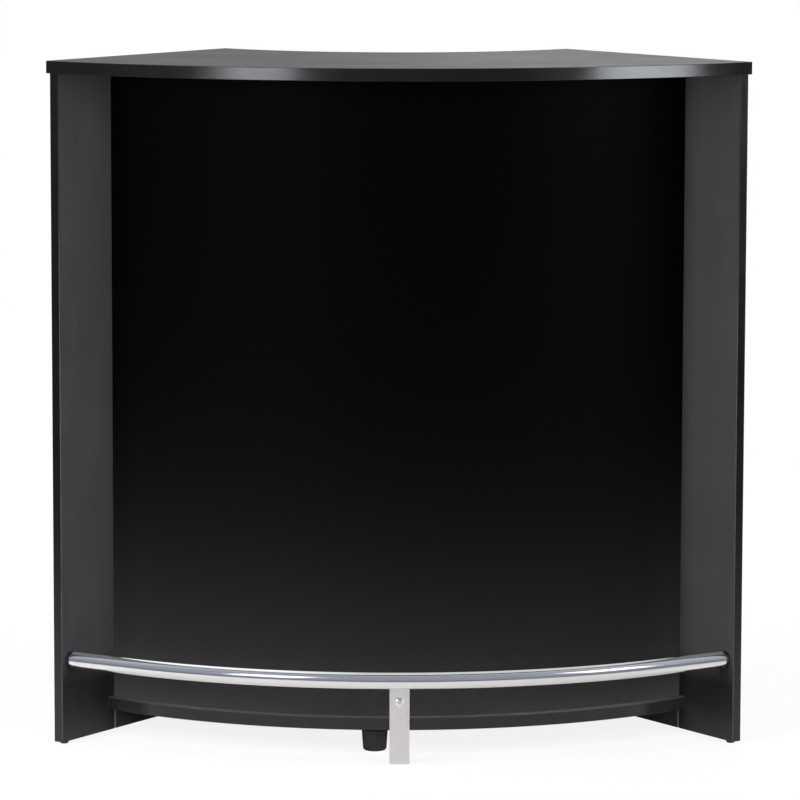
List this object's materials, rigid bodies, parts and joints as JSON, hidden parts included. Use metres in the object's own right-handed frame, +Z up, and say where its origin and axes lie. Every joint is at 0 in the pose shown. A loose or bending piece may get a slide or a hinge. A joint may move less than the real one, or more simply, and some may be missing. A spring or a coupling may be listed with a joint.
{
  "type": "curved bar counter with shelves",
  "caption": "Free-standing bar counter with a bowed black front, a sector-shaped worktop, angled side panels, rear shelves and a curved foot rail on a flat support.",
  "frame": {"origin": "on the floor, under the middle of the counter's bounding box", "axes": "+Z up, the bowed front faces -Y, +X to the right seen from the front"},
  "size_m": [1.065, 0.5688, 1.048],
  "materials": {
    "black_board": "particle board faced with black melamine, fine satin texture",
    "black_edging": "thin black plastic edging, satin",
    "black_front": "thin bent hardboard with a smooth deep-black film on its face, dark grey towards the floor",
    "polished_tube": "polished bright tube",
    "satin_aluminium": "satin flat bar, fine lengthwise grain",
    "zinc_steel": "zinc-plated steel fittings",
    "black_plastic": "moulded black plastic",
    "beech": "fluted beech dowel"
  },
  "bodies": {
    "counter": {"worktop": "black_board", "left_side_panel": "black_board", "right_side_panel": "black_board", "bottom_shelf": "black_board", "lower_shelf": "black_board", "upper_shelf": "black_board", "worktop_front_edging": "black_edging", "worktop_back_edging": "black_edging", "worktop_left_edging": "black_edging", "worktop_right_edging": "black_edging", "left_front_edging": "black_edging", "left_back_edging": "black_edging", "right_front_edging": "black_edging", "right_back_edging": "black_edging", "bottom_shelf_front_edging": "black_edging", "bottom_shelf_back_edging": "black_edging", "lower_shelf_edging": "black_edging", "upper_shelf_edging": "black_edging", "front_panel": "black_front", "foot_rail": "polished_tube", "rail_support_bar": "satin_aluminium", "support_arm": "zinc_steel", "rail_end_screws": "zinc_steel", "arm_screws": "zinc_steel", "bracket_screw": "zinc_steel", "bracket_nut": "zinc_steel", "rail_screw": "zinc_steel", "foot_insert": "zinc_steel", "cam_locks": "zinc_steel", "cam_bolts": "zinc_steel", "left_rail_plug": "black_plastic", "right_rail_plug": "black_plastic", "floor_glides": "black_plastic", "cam_caps": "black_plastic", "dowels": "beech"},
    "foot": {"levelling_foot": "black_plastic", "foot_stem": "zinc_steel"}
  },
  "joints": [
    {"name": "foot_screw", "type": "slide", "parent": "counter", "child": "foot", "axis": [0, 0, -1], "range_m": [-0.0025, 0.004]}
  ]
}
